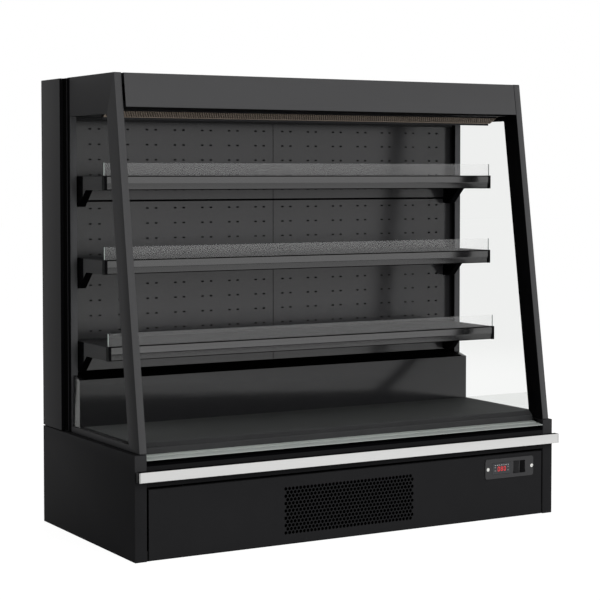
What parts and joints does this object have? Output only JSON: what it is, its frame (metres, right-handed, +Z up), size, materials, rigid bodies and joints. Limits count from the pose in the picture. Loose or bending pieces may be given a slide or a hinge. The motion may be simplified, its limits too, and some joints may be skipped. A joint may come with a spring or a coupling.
{
  "type": "open multideck display refrigerator",
  "caption": "Open-front chilled display cabinet with raked glazed ends, shelves with clear upstands, slotted air wall, vented base and front bumper.",
  "frame": {"origin": "on the floor, in the middle of the whole footprint with its bumper", "axes": "+X to the shopper's right along the front, -Y out of the open front, +Z up"},
  "size_m": [1.502, 0.737, 1.41],
  "materials": {
    "body_paint": "satin black powder coat",
    "frame_paint": "satin black powder coat",
    "inner_paint": "matt dark grey powder coat",
    "canopy_paint": "satin dark grey powder coat",
    "foamed_body": "thin painted steel skin over foam",
    "foamed_liner": "thin dark liner over foam",
    "rail_plastic": "extruded dark grey plastic, satin",
    "black_plastic": "moulded black, fine texture",
    "opal_plastic": "opal diffuser and key caps",
    "diffuser_plastic": "thin-walled honeycomb",
    "brushed_steel": "brushed along its length",
    "ledge_aluminium": "anodised, satin",
    "fin_aluminium": "bare fins",
    "cast_black": "black enamel",
    "clear_glass": "clear toughened glass"
  },
  "bodies": {
    "cabinet": {"base_floor": "body_paint", "base_side_left": "body_paint", "base_side_right": "body_paint", "base_back": "body_paint", "kick_panel": "body_paint", "front_fascia": "body_paint", "bumper_bar": "brushed_steel", "bumper_end_left": "black_plastic", "bumper_end_right": "black_plastic", "front_ledge": "ledge_aluminium", "front_glass": "clear_glass", "return_grille": "inner_paint", "deck_pan": "inner_paint", "insulated_tub": "foamed_liner", "side_frame_left": "frame_paint", "side_frame_right": "frame_paint", "side_glass_left": "clear_glass", "side_glass_right": "clear_glass", "rear_body": "foamed_body", "roof_panel": "foamed_body", "back_panel_upper_left": "inner_paint", "back_panel_upper_right": "inner_paint", "back_panel_lower_left": "inner_paint", "back_panel_lower_right": "inner_paint", "riser_panel": "inner_paint", "riser_strip": "black_plastic", "canopy_front": "canopy_paint", "honeycomb_diffuser": "diffuser_plastic", "canopy_ceiling": "inner_paint", "lamp": "opal_plastic", "lower_shelf": "inner_paint", "lower_ticket_rail": "rail_plastic", "lower_shelf_glass": "clear_glass", "lower_bracket_left": "body_paint", "lower_bracket_right": "body_paint", "middle_shelf": "inner_paint", "middle_ticket_rail": "rail_plastic", "middle_shelf_glass": "clear_glass", "middle_bracket_left": "body_paint", "middle_bracket_right": "body_paint", "upper_shelf": "inner_paint", "upper_ticket_rail": "rail_plastic", "upper_shelf_glass": "clear_glass", "upper_bracket_left": "body_paint", "upper_bracket_right": "body_paint", "control_bezel": "black_plastic", "controller": "black_plastic", "compressor": "cast_black", "condenser_coil": "fin_aluminium", "evaporator_coil": "fin_aluminium"},
    "main_rocker": {"main_switch": "black_plastic"},
    "lamp_rocker": {"lamp_switch": "black_plastic"},
    "key_button_1": {"key_1": "opal_plastic"},
    "key_button_2": {"key_2": "opal_plastic"},
    "key_button_3": {"key_3": "opal_plastic"},
    "key_button_4": {"key_4": "opal_plastic"},
    "condenser_rotor": {"condenser_fan": "black_plastic"},
    "evaporator_rotor_left": {"evaporator_fan_left": "black_plastic"},
    "evaporator_rotor_right": {"evaporator_fan_right": "black_plastic"}
  },
  "joints": [
    {"name": "main_switch_rock", "type": "hinge", "parent": "cabinet", "child": "main_rocker", "pos_m": [0.6012, -0.3365, 0.164], "axis": [1, 0, 0], "range_deg": [0, 14]},
    {"name": "lamp_switch_rock", "type": "hinge", "parent": "cabinet", "child": "lamp_rocker", "pos_m": [0.6258, -0.3365, 0.164], "axis": [1, 0, 0], "range_deg": [0, 14]},
    {"name": "key_1_press", "type": "slide", "parent": "cabinet", "child": "key_button_1", "axis": [0, 1, 0], "range_m": [0, 0.0008], "stiffness_N_per_m": 300},
    {"name": "key_2_press", "type": "slide", "parent": "cabinet", "child": "key_button_2", "axis": [0, 1, 0], "range_m": [0, 0.0008], "stiffness_N_per_m": 300},
    {"name": "key_3_press", "type": "slide", "parent": "cabinet", "child": "key_button_3", "axis": [0, 1, 0], "range_m": [0, 0.0008], "stiffness_N_per_m": 300},
    {"name": "key_4_press", "type": "slide", "parent": "cabinet", "child": "key_button_4", "axis": [0, 1, 0], "range_m": [0, 0.0008], "stiffness_N_per_m": 300},
    {"name": "condenser_fan_spin", "type": "hinge", "parent": "cabinet", "child": "condenser_rotor", "pos_m": [-0.0265, -0.2595, 0.0883], "axis": [0, 1, 0], "continuous": true},
    {"name": "evaporator_fan_left_spin", "type": "hinge", "parent": "cabinet", "child": "evaporator_rotor_left", "pos_m": [-0.28, -0.1105, 0.2819], "axis": [0, 1, 0], "continuous": true},
    {"name": "evaporator_fan_right_spin", "type": "hinge", "parent": "cabinet", "child": "evaporator_rotor_right", "pos_m": [0.28, -0.1105, 0.2819], "axis": [0, 1, 0], "continuous": true}
  ]
}
